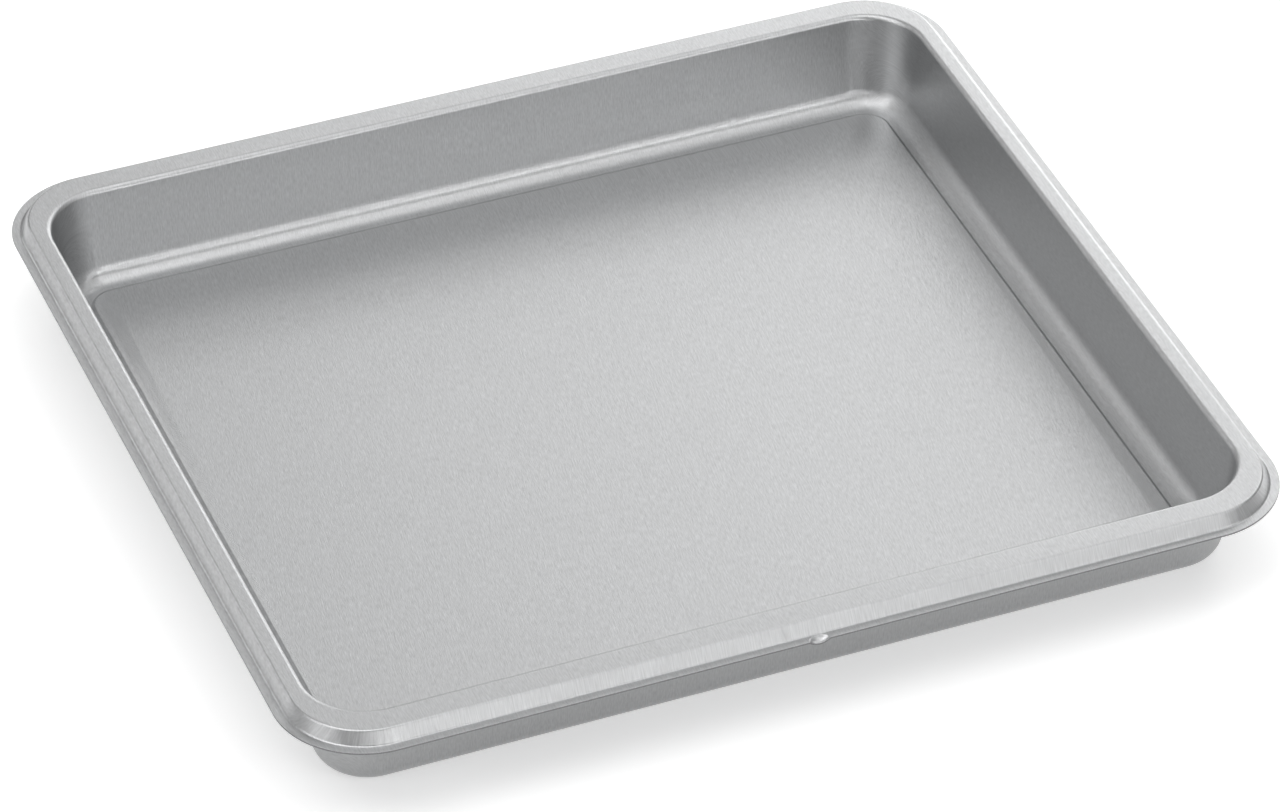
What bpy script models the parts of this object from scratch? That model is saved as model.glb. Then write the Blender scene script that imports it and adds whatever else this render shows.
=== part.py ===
"""Steam oven pan: one sheet of stainless steel, drawn into a tray with a stepped rim.

The pan is a single pressing.  A narrow lip runs round the outside, a short skirt rises from it to a
flat flange, and the flange turns down into a sloping wall.  A fillet joins the wall to a flat margin
the pan stands on, and a shallow step lifts the middle of the floor above that margin.

X runs along the front edge, Y from front to back and Z upwards.  The origin is the middle of the base.
"""
import math

import bmesh
import bpy

for leftover in list(bpy.data.objects):
    bpy.data.objects.remove(leftover, do_unlink=True)

MM = 0.001

# Size over all, from lip edge to lip edge and from the base to the top of the flange
WIDTH = 394.0 * MM
DEPTH = 375.0 * MM
HEIGHT = 39.6 * MM
SHEET = 0.8 * MM

# Lip: the flat margin outside the skirt, a hair wider at front and back than at the left and right
LIP_AT_SIDES = 3.5 * MM
LIP_AT_ENDS = 3.6 * MM

# Skirt: the slope up from the lip to the flange
SKIRT_RISE = 5.05 * MM
SKIRT_LEAN = 3.0 * MM
FOOT_RADIUS = 1.0 * MM
SHOULDER_RADIUS = 1.2 * MM

# Flange: the flat top of the rim, much wider at front and back than at the left and right
FLANGE_AT_SIDES = 6.9 * MM
FLANGE_AT_ENDS = 11.4 * MM

# Wall, from the mouth down to the margin of the floor
MOUTH_RADIUS = 2.2 * MM
WALL_LEAN = 5.3 * MM
FLOOR_RADIUS = 7.6 * MM

# Floor: a flat margin at the base and a panel raised inside it
MARGIN_WIDTH = 1.8 * MM
STEP_RUN = 1.2 * MM
STEP_RISE = 0.7 * MM
STEP_RADIUS = 0.8 * MM

# Corner radii in plan, at the lip's edge and at the mouth
LIP_CORNER = 35.2 * MM
MOUTH_CORNER = 24.6 * MM

# Dimple: a half-round dip pressed into the lip at the middle of the front
DIMPLE_WIDTH = 7.8 * MM
DIMPLE_DEPTH = 1.5 * MM

# Fineness of the curves
CORNER_STEPS = 12
SMALL_STEPS = 4
MOUTH_STEPS = 5
FLOOR_STEPS = 8
STEP_STEPS = 2
DIMPLE_STEPS = 12
LIP_STEPS = 4


def rounded(before, corner, after, radius, steps):
    """Points of the arc that rounds off a corner of the section, from one tangent point to the other."""
    ax, az = before[0] - corner[0], before[1] - corner[1]
    bx, bz = after[0] - corner[0], after[1] - corner[1]
    a_len, b_len = math.hypot(ax, az), math.hypot(bx, bz)
    ax, az, bx, bz = ax / a_len, az / a_len, bx / b_len, bz / b_len
    half = math.acos(max(-1.0, min(1.0, ax * bx + az * bz))) / 2
    reach = radius / math.tan(half)
    mid_x, mid_z = ax + bx, az + bz
    mid_len = math.hypot(mid_x, mid_z)
    away = radius / math.sin(half)
    centre = (corner[0] + mid_x / mid_len * away, corner[1] + mid_z / mid_len * away)
    start = (corner[0] + ax * reach, corner[1] + az * reach)
    end = (corner[0] + bx * reach, corner[1] + bz * reach)
    first = math.atan2(start[1] - centre[1], start[0] - centre[0])
    turn = math.atan2(end[1] - centre[1], end[0] - centre[0]) - first
    turn = (turn + math.pi) % (2 * math.pi) - math.pi
    return [(centre[0] + radius * math.cos(first + turn * i / steps),
             centre[1] + radius * math.sin(first + turn * i / steps)) for i in range(steps + 1)]


def section():
    """Upper surface of the sheet, from the lip's edge to the raised panel, as (inset, height, zone).

    Insets are those of the left and right sides.  The zone tells how far in the same point lies at
    front and back: it goes from 0 at the lip's edge to 1 at the skirt, and is 2 from the mouth inwards.
    """
    lip_z = HEIGHT - SKIRT_RISE
    shoulder = LIP_AT_SIDES + SKIRT_LEAN
    mouth = shoulder + FLANGE_AT_SIDES
    wall_foot = mouth + WALL_LEAN
    lean = math.atan2(WALL_LEAN, HEIGHT - SHEET)
    fillet_end = wall_foot + FLOOR_RADIUS / math.tan((math.pi / 2 + lean) / 2)
    step_foot = fillet_end + MARGIN_WIDTH
    step_top = step_foot + STEP_RUN
    panel_z = SHEET + STEP_RISE
    corners = [
        ((0.0, lip_z), None, 0, 0),
        ((LIP_AT_SIDES, lip_z), FOOT_RADIUS, SMALL_STEPS, 1),
        ((shoulder, HEIGHT), SHOULDER_RADIUS, SMALL_STEPS, 1),
        ((mouth, HEIGHT), MOUTH_RADIUS, MOUTH_STEPS, 2),
        ((wall_foot, SHEET), FLOOR_RADIUS, FLOOR_STEPS, 2),
        ((step_foot, SHEET), STEP_RADIUS, STEP_STEPS, 2),
        ((step_top, panel_z), STEP_RADIUS, STEP_STEPS, 2),
        ((2 * step_top, panel_z), None, 0, 2),
    ]
    points = []
    for before, this, after in zip(corners, corners[1:], corners[2:]):
        corner, radius, steps, zone = this
        arc = rounded(before[0], corner, after[0], radius, steps)
        points += [(inset, height, zone) for inset, height in arc]
    lip_in = points[0][0]
    lip = [(lip_in * i / LIP_STEPS, lip_z, i / LIP_STEPS) for i in range(LIP_STEPS)]
    return lip + points, lip_in, mouth


def further_in(zone):
    """How much further in a point lies at front and back than at the sides."""
    at_lip = (LIP_AT_ENDS - LIP_AT_SIDES) * min(zone, 1)
    at_flange = (FLANGE_AT_ENDS - FLANGE_AT_SIDES) * max(zone - 1, 0)
    return at_lip + at_flange


def dip(x, across):
    """Depth of the dimple at x on the front lip, across from 0 at the lip's edge to 1 at its foot."""
    along = 2 * x / DIMPLE_WIDTH
    return DIMPLE_DEPTH * max(0.0, 1 - along ** 2 - across ** 2)


def outline(half_x, half_y, radius):
    """Rounded rectangle seen from above, anticlockwise, with extra points across the dimple's width."""
    points = [(DIMPLE_WIDTH * (i / DIMPLE_STEPS - 0.5), -half_y) for i in range(DIMPLE_STEPS + 1)]
    for side_x, side_y, start in ((1, -1, -90), (1, 1, 0), (-1, 1, 90), (-1, -1, 180)):
        for i in range(CORNER_STEPS + 1):
            angle = math.radians(start + 90 * i / CORNER_STEPS)
            points.append((side_x * (half_x - radius) + radius * math.cos(angle),
                           side_y * (half_y - radius) + radius * math.sin(angle)))
    return points


def build_pan():
    """Skins the outlines of the section one inside the next, and gives the skin the sheet's thickness."""
    stations, lip_in, mouth = section()
    bm = bmesh.new()
    rings = []
    for inset, height, zone in stations:
        radius = LIP_CORNER - inset if zone <= 1 else MOUTH_CORNER - (inset - mouth)
        outer = outline(WIDTH / 2 - inset, DEPTH / 2 - inset - further_in(zone), max(radius, 4 * SHEET))
        ring = []
        for x, y in outer:
            low = dip(x, inset / lip_in) if y < 0 else 0.0
            ring.append(bm.verts.new((x, y, height - low)))
        rings.append(ring)
    for outer, inner in zip(rings, rings[1:]):
        for i in range(len(outer)):
            j = (i + 1) % len(outer)
            bm.faces.new((outer[i], outer[j], inner[j], inner[i]))
    bm.faces.new(rings[-1])
    for face in bm.faces:
        face.smooth = True
    for edge in bm.edges:
        edge.smooth = not edge.is_boundary
    mesh = bpy.data.meshes.new("pan")
    bm.to_mesh(mesh)
    bm.free()
    pan = bpy.data.objects.new("pan", mesh)
    bpy.context.scene.collection.objects.link(pan)
    sheet = pan.modifiers.new("sheet", "SOLIDIFY")
    sheet.thickness = SHEET
    sheet.offset = -1.0
    sheet.use_even_offset = True
    sheet.use_rim = True
    return pan


def stainless_steel():
    """Brushed stainless steel."""
    steel = bpy.data.materials.new("brushed_stainless")
    steel.use_nodes = True
    shader = steel.node_tree.nodes["Principled BSDF"]
    shader.inputs["Base Color"].default_value = (0.52, 0.525, 0.53, 1.0)
    shader.inputs["Metallic"].default_value = 1.0
    shader.inputs["Roughness"].default_value = 0.32
    return steel


build_pan().data.materials.append(stainless_steel())
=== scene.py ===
# %% [markdown]
# # A steam oven pan
#
# This lesson dresses one part: a shallow pan for a steam oven, pressed from a single sheet of
# stainless steel.  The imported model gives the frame, in metres, with the origin in the middle
# of the base, X along the front edge, Y from front to back and Z upwards.

import math
from collections import namedtuple

import bmesh
import bpy
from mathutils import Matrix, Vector


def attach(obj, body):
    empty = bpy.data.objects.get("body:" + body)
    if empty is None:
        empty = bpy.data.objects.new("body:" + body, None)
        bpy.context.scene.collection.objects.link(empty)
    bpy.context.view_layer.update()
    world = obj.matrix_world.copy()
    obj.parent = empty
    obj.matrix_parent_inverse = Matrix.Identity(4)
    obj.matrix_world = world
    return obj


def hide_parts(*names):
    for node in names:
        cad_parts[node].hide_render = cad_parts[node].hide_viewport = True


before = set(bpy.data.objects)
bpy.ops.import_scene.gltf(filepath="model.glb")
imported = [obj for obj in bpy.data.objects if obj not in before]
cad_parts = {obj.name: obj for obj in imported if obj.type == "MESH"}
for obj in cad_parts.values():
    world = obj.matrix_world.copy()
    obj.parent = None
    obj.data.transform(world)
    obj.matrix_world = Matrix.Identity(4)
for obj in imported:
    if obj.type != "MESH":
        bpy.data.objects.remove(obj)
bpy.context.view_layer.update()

# %% [markdown]
# ## The sizes of the pressing
#
# A press tool is drawn as a section and a few outlines, so the sizes here are the ones a
# toolmaker would ask for: how wide each flat is, how far it stands above its neighbour and what
# radius joins the two.  The rim has three levels of detail that catch the light: a lip, a skirt
# that rises from it, and a flat flange that turns down into the wall.

# %% Sizes
MM = 0.001
WIDTH, DEPTH, HEIGHT = 394.0 * MM, 375.0 * MM, 39.6 * MM
SHEET = 0.8 * MM

LIP_AT_SIDES, LIP_AT_ENDS = 3.5 * MM, 3.6 * MM
SKIRT_RISE, SKIRT_LEAN = 5.05 * MM, 3.0 * MM
FLANGE_AT_SIDES, FLANGE_AT_ENDS = 6.9 * MM, 11.4 * MM
WALL_LEAN = 5.3 * MM
FOOT_RADIUS, SHOULDER_RADIUS, MOUTH_RADIUS = 1.0 * MM, 1.2 * MM, 2.2 * MM
FLOOR_RADIUS = 7.6 * MM

MARGIN_WIDTH = 1.8 * MM
STEP_RUN, STEP_RISE, STEP_RADIUS = 1.2 * MM, 0.7 * MM, 0.8 * MM

LIP_CORNER, MOUTH_CORNER = 35.2 * MM, 24.6 * MM
DIMPLE_WIDTH, DIMPLE_DEPTH = 7.8 * MM, 1.5 * MM
print("pan, mm:", [round(side / MM, 1) for side in (WIDTH, DEPTH, HEIGHT)])

# %% [markdown]
# ## The section as a chain of bends
#
# Before any bend is rounded, the upper surface of the sheet is a chain of flats that meet at
# sharp lines.  Each line is one row below: how far in it lies at the sides, how much further in
# it lies at front and back, its height, its corner radius in plan, the radius that will round
# it, and how many facets that rounding gets.

# %% The heights and insets of the lines
LIP_Z = HEIGHT - SKIRT_RISE
PANEL_Z = SHEET + STEP_RISE
END_LIP = LIP_AT_ENDS - LIP_AT_SIDES
END_FLANGE = END_LIP + FLANGE_AT_ENDS - FLANGE_AT_SIDES

shoulder_in = LIP_AT_SIDES + SKIRT_LEAN
mouth_in = shoulder_in + FLANGE_AT_SIDES
wall_foot_in = mouth_in + WALL_LEAN
wall_slope = math.atan2(WALL_LEAN, HEIGHT - SHEET)
fillet_reach = FLOOR_RADIUS / math.tan((math.pi / 2 + wall_slope) / 2)
step_foot_in = wall_foot_in + fillet_reach + MARGIN_WIDTH
step_top_in = step_foot_in + STEP_RUN
print("wall leans", round(math.degrees(wall_slope), 1), "degrees from upright")


# %% The lines where the flats meet
def corner_in_mouth(inset):
    """Plan radius of a corner inside the pan, which shrinks as the outline goes in."""
    return MOUTH_CORNER - (inset - mouth_in)


Bend = namedtuple("Bend", "name inset more height corner radius facets")
bends = [
    Bend("lip edge", 0.0, 0.0, LIP_Z, LIP_CORNER, None, 0),
    Bend("skirt foot", LIP_AT_SIDES, END_LIP, LIP_Z, LIP_CORNER - LIP_AT_SIDES,
         FOOT_RADIUS, 8),
    Bend("shoulder", shoulder_in, END_LIP, HEIGHT, LIP_CORNER - shoulder_in,
         SHOULDER_RADIUS, 8),
    Bend("mouth", mouth_in, END_FLANGE, HEIGHT, MOUTH_CORNER, MOUTH_RADIUS, 12),
    Bend("wall foot", wall_foot_in, END_FLANGE, SHEET, corner_in_mouth(wall_foot_in),
         FLOOR_RADIUS, 18),
    Bend("step foot", step_foot_in, END_FLANGE, SHEET, corner_in_mouth(step_foot_in),
         STEP_RADIUS, 5),
    Bend("step top", step_top_in, END_FLANGE, PANEL_Z, corner_in_mouth(step_top_in),
         STEP_RADIUS, 5),
]
for bend in bends:
    print(f"{bend.name:10s} {bend.inset / MM:6.2f} mm in, at {bend.height / MM:5.2f} mm")

# %% [markdown]
# ## One outline
#
# Seen from above every line is a rounded rectangle.  A square face scaled to size, with its
# four corners bevelled as vertices, gives exact quarter circles, and deleting the face leaves
# its loop of edges.  That is quicker to read than working out arcs by hand.

# %% Make an outline
CORNER_FACETS = 32


def outline(bm, half_x, half_y, height, corner):
    """Loop of edges round a rounded rectangle that lies flat at a height."""
    known = set(bm.edges)
    square = bmesh.ops.create_grid(bm, x_segments=1, y_segments=1, size=1.0)["verts"]
    bmesh.ops.scale(bm, verts=square, vec=(half_x, half_y, 1.0))
    bmesh.ops.translate(bm, verts=square, vec=(0.0, 0.0, height))
    bmesh.ops.bevel(bm, geom=square, affect="VERTICES", offset=corner, offset_type="ABSOLUTE",
                    segments=CORNER_FACETS, profile=0.5, material=-1, clamp_overlap=False)
    loop = [edge for edge in bm.edges if edge not in known]
    face = loop[0].link_faces[0]
    bmesh.ops.delete(bm, geom=[face], context="FACES_ONLY")
    return loop


# %% [markdown]
# ## Skin and round the pressing
#
# A real pan starts as a flat blank that a press draws down in one stroke.  Bending a flat grid
# the same way would wrinkle its corners, so the skin is built from its lines instead.  The
# loops are bridged one inside the next, and the innermost is filled to make the raised panel.
# Bridging can twist between two loops that lie in one plane, so each loop starts on a level of
# its own and moves to its true height once it is joined.

# %% Bridge the loops
LEVEL = 20 * MM
pressing = bmesh.new()
loops = []
for bend in bends:
    loops.append(outline(pressing, WIDTH / 2 - bend.inset, DEPTH / 2 - bend.inset - bend.more,
                         -LEVEL * len(loops), bend.corner))
for outer, inner in zip(loops, loops[1:]):
    bmesh.ops.bridge_loops(pressing, edges=outer + inner)
bmesh.ops.contextual_create(pressing, geom=loops[-1])
for level, (loop, bend) in enumerate(zip(loops, bends)):
    corners = list({vert for edge in loop for vert in edge.verts})
    bmesh.ops.translate(pressing, verts=corners, vec=(0.0, 0.0, bend.height + LEVEL * level))
print("bridged:", len(pressing.faces), "faces")

# %% [markdown]
# Each line of the chain is then bevelled to its own radius.  Bevel measures along the flats, so
# the radius is turned into the reach of the arc, which depends on the angle the two flats make.


# %% Reach of a rounding
def reach(before, line, after, radius):
    """Distance from a sharp line to where its rounding begins, in (inset, height)."""
    back = Vector(before) - Vector(line)
    on = Vector(after) - Vector(line)
    return radius / math.tan(back.angle(on) / 2)


print("reach in a square corner, in radii:", round(reach((0, 1), (0, 0), (1, 0), 1.0), 3))

# %% Bevel the lines
FAR_IN = 0.5  # any point of the panel further in than its edge
section = [(bend.inset, bend.height) for bend in bends] + [(FAR_IN, PANEL_Z)]
for place in range(1, len(bends)):
    before, line, after = section[place - 1:place + 2]
    bmesh.ops.bevel(pressing, geom=loops[place], affect="EDGES", offset_type="OFFSET",
                    offset=reach(before, line, after, bends[place].radius),
                    segments=bends[place].facets, profile=0.5, material=-1,
                    clamp_overlap=False, loop_slide=True)
print("rounded:", len(pressing.faces), "faces")

# %% [markdown]
# ## The dimple in the front lip
#
# A half-round dip is pressed into the lip at the middle of the front, like the mark of a
# spoon's edge.  Cutting a bowl out of the lip would thin the sheet, and pushing its vertices
# down keeps it whole.  The lip there has only long faces, so it is first cut by planes, across
# and along, and then the vertices are lowered into half a bowl that is deepest at the edge.
# The edges and vertices to cut are gathered in a dict, because it remembers their order and a
# set doesn't, and the cuts should come out alike each time.

# %% Find the lip where the dimple goes
front = -DEPTH / 2
lip_foot = LIP_AT_ENDS - reach(*section[0:3], FOOT_RADIUS)
FOOT_SLACK = 1.01  # so that rounding errors leave no face out


def lip_faces():
    """Faces of the front lip that reach over the dimple, with their edges and vertices."""
    faces = [face for face in pressing.faces
             if max(vert.co.y for vert in face.verts) < front + lip_foot * FOOT_SLACK
             and min(vert.co.x for vert in face.verts) < DIMPLE_WIDTH / 2
             and max(vert.co.x for vert in face.verts) > -DIMPLE_WIDTH / 2]
    edges = dict.fromkeys(edge for face in faces for edge in face.edges)
    verts = dict.fromkeys(vert for face in faces for vert in face.verts)
    return faces + list(edges) + list(verts)


# %% Cut it across and along
DIMPLE_CUTS = 24
LIP_CUTS = 10
OVERLAP = 1.02  # the outer cuts lie just outside the dimple
TOUCHING = 1e-7  # metres

for cut in range(DIMPLE_CUTS + 1):
    x = DIMPLE_WIDTH * (cut / DIMPLE_CUTS - 0.5) * OVERLAP
    bmesh.ops.bisect_plane(pressing, geom=lip_faces(), dist=TOUCHING, plane_co=(x, 0, 0),
                           plane_no=(1, 0, 0))
for cut in range(1, LIP_CUTS):
    y = front + lip_foot * cut / LIP_CUTS
    bmesh.ops.bisect_plane(pressing, geom=lip_faces(), dist=TOUCHING, plane_co=(0, y, 0),
                           plane_no=(0, 1, 0))
print("cut for the dimple:", len(pressing.faces), "faces")


# %% Press the dimple
def dip(x, across):
    """Depth of the dimple at x, across the lip from 0 at its edge to 1 at the skirt's foot."""
    along = 2 * x / DIMPLE_WIDTH
    return DIMPLE_DEPTH * max(0.0, 1 - along ** 2 - across ** 2)


for vert in pressing.verts:
    if vert.co.y < front + lip_foot:
        vert.co.z -= dip(vert.co.x, (vert.co.y - front) / lip_foot)
print("dimple:", round(dip(0, 0) / MM, 2), "mm deep at the lip's edge")

# %% [markdown]
# ## Which way the grain runs
#
# The sheet was brushed from front to back before it was pressed, so the grain runs up the front
# and back walls but along the side walls.  A UV map that unrolls the straight walls does this:
# it starts from x and y, and moves each point away from its own wall, toward the middle of the
# pan, by its drop below the rim.  At the corners it closes to a point part of the way down and
# opens again turned over, so the streaks there bend into faint rings, which a real sheet lacks.

# %% Unroll the sheet into a UV map
grain_map = pressing.loops.layers.uv.new("grain")
corner_x, corner_y = WIDTH / 2 - LIP_CORNER, DEPTH / 2 - LIP_CORNER


def unrolled(co):
    """Where a point of the pan lay on the flat sheet, near enough for the straight walls' grain."""
    past_x, past_y = max(abs(co.x) - corner_x, 0.0), max(abs(co.y) - corner_y, 0.0)
    both = math.hypot(past_x, past_y) or 1.0
    drop = HEIGHT - co.z
    return (co.x - math.copysign(drop * past_x / both, co.x),
            co.y - math.copysign(drop * past_y / both, co.y))


for face in pressing.faces:
    face.smooth = True
    for loop in face.loops:
        loop[grain_map].uv = unrolled(loop.vert.co)
print("unrolled:", len(pressing.faces), "faces")

# %% [markdown]
# ## Give the skin its thickness
#
# The upper side is done, and the lower side follows it at one thickness of the sheet.  A second
# skin could be drawn for it, but Solidify measures square to every face, which a press does
# too.  Doubles are merged and the normals turned upwards while the skin is still open.

# %% Close up the skin
bmesh.ops.remove_doubles(pressing, verts=pressing.verts, dist=TOUCHING)
bmesh.ops.recalc_face_normals(pressing, faces=pressing.faces)
if max(pressing.faces, key=lambda face: face.calc_area()).normal.z < 0:
    bmesh.ops.reverse_faces(pressing, faces=pressing.faces)
pan_mesh = bpy.data.meshes.new("pan_sheet")
pressing.to_mesh(pan_mesh)
pressing.free()
pan = bpy.data.objects.new("pan_sheet", pan_mesh)
bpy.context.scene.collection.objects.link(pan)
print("skin:", len(pan_mesh.vertices), "vertices")

# %% [markdown]
# Solidify also hands out the finishes: the upper side keeps the first material of the sheet,
# the cut edge takes the second and the lower side the third.  After it a small bevel softens
# the cut edge of the lip, and weighted normals keep the flats flat in the light while the bends
# stay round.

# %% Make it a sheet
CUT_EDGE = 0.12 * MM
CUT_EDGE_FACETS = 2
SHARP = math.radians(60)

thickness = pan.modifiers.new("thickness", "SOLIDIFY")
thickness.thickness = SHEET
thickness.offset = -1.0
thickness.use_even_offset = True
thickness.material_offset_rim = 1
# the lower side takes the third material, a darker steel that paints shade on the outer wall
thickness.material_offset = 2

softened = pan.modifiers.new("cut edge", "BEVEL")
softened.width = CUT_EDGE
softened.segments = CUT_EDGE_FACETS
softened.limit_method = "ANGLE"
softened.angle_limit = SHARP

flats = pan.modifiers.new("flats", "WEIGHTED_NORMAL")
flats.mode = "FACE_AREA"
flats.keep_sharp = False
print("modifiers:", [modifier.name for modifier in pan.modifiers])

# %% Put it in the pan's place
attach(pan, "root")
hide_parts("pan")
print("in its place:", pan.name)


# %% [markdown]
# ## Sums with sockets
#
# A material's nodes are easier to follow as sums.  The class below wraps one socket, and adding
# or multiplying it adds the Math nodes that work the sum out.  The second class is a new
# material with one method that adds any other kind of node.

# %% A socket that can be added and multiplied
class Level:
    """One number that varies over the surface, held by a socket."""

    def __init__(self, finish, socket):
        self.finish = finish
        self.socket = socket

    def sum(self, operation, other):
        return self.finish.node("ShaderNodeMath", {"operation": operation}, {0: self, 1: other})

    def __add__(self, other):
        return self.sum("ADD", other)

    def __mul__(self, other):
        return self.sum("MULTIPLY", other)

    __radd__ = __add__
    __rmul__ = __mul__


# %% A material and its nodes
class Finish:
    """A new material, whose nodes are added one by one."""

    def __init__(self, name):
        self.material = bpy.data.materials.new(name)
        self.material.use_nodes = True
        self.tree = self.material.node_tree
        self.shader = self.tree.nodes["Principled BSDF"]

    def set(self, node, sockets):
        """Gives each named socket of a node its value, or links it to a Level."""
        for name, value in sockets.items():
            if isinstance(value, Level):
                self.tree.links.new(value.socket, node.inputs[name])
            else:
                node.inputs[name].default_value = value

    def node(self, kind, settings, sockets, result=0):
        """Adds a node, applies its settings first and its sockets next, and gives its result."""
        node = self.tree.nodes.new(kind)
        for name, value in settings.items():
            setattr(node, name, value)
        self.set(node, sockets)
        return Level(self, node.outputs[result])


# %% [markdown]
# ## Brushed stainless steel
#
# Brushing leaves very fine scratches side by side.  They are too fine to see one by one, but
# they spread a reflection sideways and leave faint streaks of lighter and darker metal.  Layers
# of stretched noise do this: hair-fine scratches in the bump, short and long streaks in the
# colour, and slow clouds from the rolling of the sheet.  The bump is steep enough to blur what
# the steel mirrors across the grain and leave it crisp along the grain, as a brushed sheet does.
#
# Two kinds of node are used more than once, so each gets a short function: noise stretched
# along the grain, and a mix of two colours.  The Mix node keeps a set of sockets for every kind
# of value, and those for colour are numbered.

# %% Stretched noise and mixed colour
MIX_SHARE, MIX_FIRST, MIX_SECOND, MIX_RESULT = 0, 6, 7, 2
STRAND_ROUGHNESS = 0.6


def strands(finish, across, along, detail, seed):
    """Noise stretched along the grain; across and along are the size of one strand in metres."""
    lay = finish.node("ShaderNodeUVMap", {"uv_map": "grain"}, {})
    spot = finish.node("ShaderNodeMapping", {},
                       {"Vector": lay, "Location": (seed, 0.0, 0.0),
                        "Scale": (1 / across, 1 / along, 1.0)})
    return finish.node("ShaderNodeTexNoise", {"noise_dimensions": "2D"},
                       {"Vector": spot, "Scale": 1.0, "Detail": detail,
                        "Roughness": STRAND_ROUGHNESS})


def mixed(finish, blend, share, first, second):
    """Two colours mixed, or one multiplied by the other."""
    return finish.node("ShaderNodeMix", {"data_type": "RGBA", "blend_type": blend},
                       {MIX_SHARE: share, MIX_FIRST: first, MIX_SECOND: second},
                       result=MIX_RESULT)


# %% [markdown]
# The lower side of the sheet gets the same brushing in a darker steel.  That darker steel is
# painted shade: where it shows, on the outer wall, it makes the pan darker than its rim, more
# than the shade it stands in accounts for.

# %% Brushed steel
UPPER_METAL = (0.52, 0.525, 0.53, 1.0)
# the lower side's darker colour is painted shade on the outer wall, not a different finish
LOWER_METAL_PAINTED_SHADE = (0.385, 0.389, 0.393, 1.0)
DARKEST, STREAK_TONE, LONG_STREAK_TONE, CLOUD_TONE = 0.74, 0.34, 0.12, 0.03
SMOOTHEST, CLOUD_BLUR, STREAK_BLUR = 0.28, 0.03, 0.02
SCRATCH_DEPTH = 0.05 * MM


def brushed_steel(name, metal):
    """Steel of a given colour, brushed along the grain."""
    steel = Finish(name)
    scratches = strands(steel, across=0.14 * MM, along=4.0 * MM, detail=1.0, seed=3.0)
    streaks = strands(steel, across=0.5 * MM, along=3.0 * MM, detail=1.0, seed=11.0)
    long_streaks = strands(steel, across=0.6 * MM, along=20.0 * MM, detail=1.0, seed=17.0)
    clouds = strands(steel, across=70 * MM, along=120 * MM, detail=2.0, seed=29.0)
    tone = (DARKEST + STREAK_TONE * streaks + LONG_STREAK_TONE * long_streaks
            + CLOUD_TONE * clouds)
    steel.set(steel.shader, {
        "Metallic": 1.0,
        "Base Color": mixed(steel, "MULTIPLY", 1.0, metal, tone),
        "Roughness": SMOOTHEST + CLOUD_BLUR * clouds + STREAK_BLUR * streaks,
        "Normal": steel.node("ShaderNodeBump", {}, {
            "Height": scratches, "Strength": 1.0, "Distance": SCRATCH_DEPTH}),
    })
    return steel.material


upper_steel = brushed_steel("brushed_steel", UPPER_METAL)
# a darker copy of the same steel, which paints shade on the outer wall
lower_steel_painted_shade = brushed_steel("lower_steel_painted_shade", LOWER_METAL_PAINTED_SHADE)
print("brushed steel:", len(upper_steel.node_tree.nodes), "nodes on each side")

# %% [markdown]
# ## The sheared edge
#
# The blank was cut out with a shear, which leaves the rim of the lip duller and darker than the
# brushed faces, with upright lines torn across its thickness.  The map has no height on the
# rim, so the same noise draws just those lines.

# %% Sheared steel
DARK_TEAR, LIGHT_TEAR = (0.10, 0.10, 0.105, 1.0), (0.28, 0.28, 0.285, 1.0)
EDGE_SMOOTHEST, TEAR_BLUR = 0.42, 0.14
TEAR_STRENGTH, TEAR_DEPTH = 0.4, 0.03 * MM

sheared = Finish("sheared_steel")
tears = strands(sheared, across=0.3 * MM, along=0.3 * MM, detail=3.0, seed=5.0)
sheared.set(sheared.shader, {
    "Metallic": 1.0,
    "Base Color": mixed(sheared, "MIX", tears, DARK_TEAR, LIGHT_TEAR),
    "Roughness": EDGE_SMOOTHEST + TEAR_BLUR * tears,
    "Normal": sheared.node("ShaderNodeBump", {}, {
        "Height": tears, "Strength": TEAR_STRENGTH, "Distance": TEAR_DEPTH}),
})

# %% Give the sheet its finishes
for finish in (upper_steel, sheared.material, lower_steel_painted_shade):
    pan_mesh.materials.append(finish)
print("upper side, cut edge, lower side:", [finish.name for finish in pan_mesh.materials])

# %% [markdown]
# ## The studio
#
# The pan stands on a white floor two metres wide, which glows faintly as a light table does, so
# the shade beside the pan stays soft.  Metal shows its room, so what matters is what each
# surface looks at.  One small white softbox stands in each direction that a flat, a wall or a
# bend of the pan mirrors, and its strength sets how bright that surface is: the flange shows the
# lights high at the back, the skirt those at the front and left, and the outer walls show the
# floor.

# %% White floor
FLOOR_REACH = 1.0
FLOOR_GLOW = 0.34

floor_mesh = bpy.data.meshes.new("studio_floor")
table = bmesh.new()
bmesh.ops.create_grid(table, x_segments=1, y_segments=1, size=FLOOR_REACH)
table.to_mesh(floor_mesh)
table.free()
floor = bpy.data.objects.new("studio_floor", floor_mesh)
bpy.context.scene.collection.objects.link(floor)
white = Finish("studio_white")
white.set(white.shader, {"Base Color": (0.92, 0.92, 0.92, 1.0), "Roughness": 0.9,
                         "Specular IOR Level": 0.0, "Emission Color": (1.0, 1.0, 1.0, 1.0),
                         "Emission Strength": FLOOR_GLOW})
floor_mesh.materials.append(white.material)
print("floor:", 2 * FLOOR_REACH, "m wide")

# %% Light of the room
ROOM_GLOW = 0.4

world = bpy.data.worlds.new("studio")
world.use_nodes = True
room = world.node_tree.nodes["Background"]
room.inputs["Color"].default_value = (1.0, 1.0, 1.0, 1.0)
room.inputs["Strength"].default_value = ROOM_GLOW
bpy.context.scene.world = world
bpy.context.scene.view_settings.view_transform = "Standard"
print("light of the room:", ROOM_GLOW)

# %% A soft light
AWAY = 2.0


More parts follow.
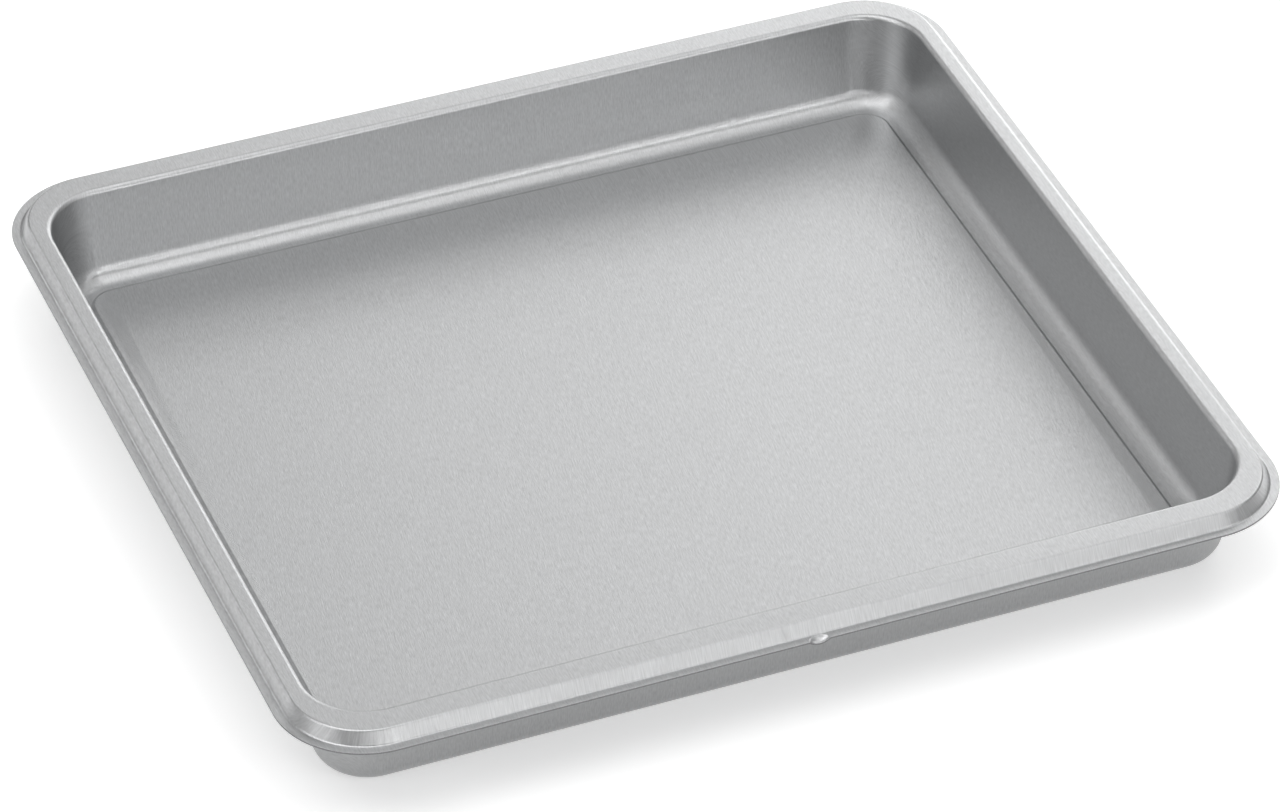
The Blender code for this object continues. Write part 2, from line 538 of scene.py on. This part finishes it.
def softbox(name, heading, rise, width, height, glow):
    """Rectangular soft light that faces the pan; heading 0 is behind it and 90 at its right."""
    turn, tilt = math.radians(heading), math.radians(rise)
    place = AWAY * Vector((math.sin(turn) * math.cos(tilt), math.cos(turn) * math.cos(tilt),
                           math.sin(tilt)))
    light = bpy.data.lights.new(name, "AREA")
    light.shape = "RECTANGLE"
    light.size, light.size_y = width, height
    light.energy = glow * math.pi * width * height
    lamp = bpy.data.objects.new(name, light)
    lamp.location = place
    lamp.rotation_euler = (-place).to_track_quat("-Z", "Y").to_euler()
    lamp.visible_camera = False
    bpy.context.scene.collection.objects.link(lamp)
    print(f"{name:10s} {light.energy:5.2f} W")


# %% Soft lights
softbox("overhead", heading=0, rise=88, width=1.2, height=1.2, glow=1.4)
softbox("back_high", heading=22, rise=41, width=0.9, height=0.55, glow=1.0)
softbox("back", heading=30, rise=24, width=1.6, height=0.5, glow=1.3)
softbox("back_low", heading=40, rise=9, width=0.9, height=0.45, glow=3.2)
softbox("right", heading=60, rise=40, width=0.9, height=0.55, glow=2.4)
softbox("front_high", heading=140, rise=60, width=1.0, height=0.7, glow=1.7)
softbox("front", heading=155, rise=30, width=0.9, height=0.5, glow=3.6)
softbox("front_low", heading=180, rise=9, width=0.9, height=0.45, glow=4.3)
softbox("left_high", heading=-100, rise=60, width=1.2, height=0.9, glow=2.2)
softbox("left_low", heading=-100, rise=24, width=0.9, height=0.5, glow=3.0)
softbox("back_left", heading=-40, rise=24, width=0.9, height=0.5, glow=1.5)

# %% [markdown]
# ## The camera
#
# A long lens from a good way off keeps the sides of the pan nearly parallel.  The small
# sideways shift puts the pan where it stands in the frame.

# %% Camera
LENS, SHIFT = 194.88, -0.07
CAMERA_PLACE = (-0.7600, -1.9688, 1.6255)
CAMERA_TURN = (52.525, -0.021, -22.117)

camera_data = bpy.data.cameras.new("camera")
camera_data.sensor_width = 36.0
camera_data.lens = LENS
camera_data.shift_x = SHIFT
camera_data.clip_start, camera_data.clip_end = 0.05, 50.0
camera = bpy.data.objects.new("camera", camera_data)
camera.location = CAMERA_PLACE
camera.rotation_euler = [math.radians(angle) for angle in CAMERA_TURN]
bpy.context.scene.collection.objects.link(camera)
bpy.context.scene.camera = camera
print("camera:", round(camera.location.length, 2), "m from the middle of the pan's base")
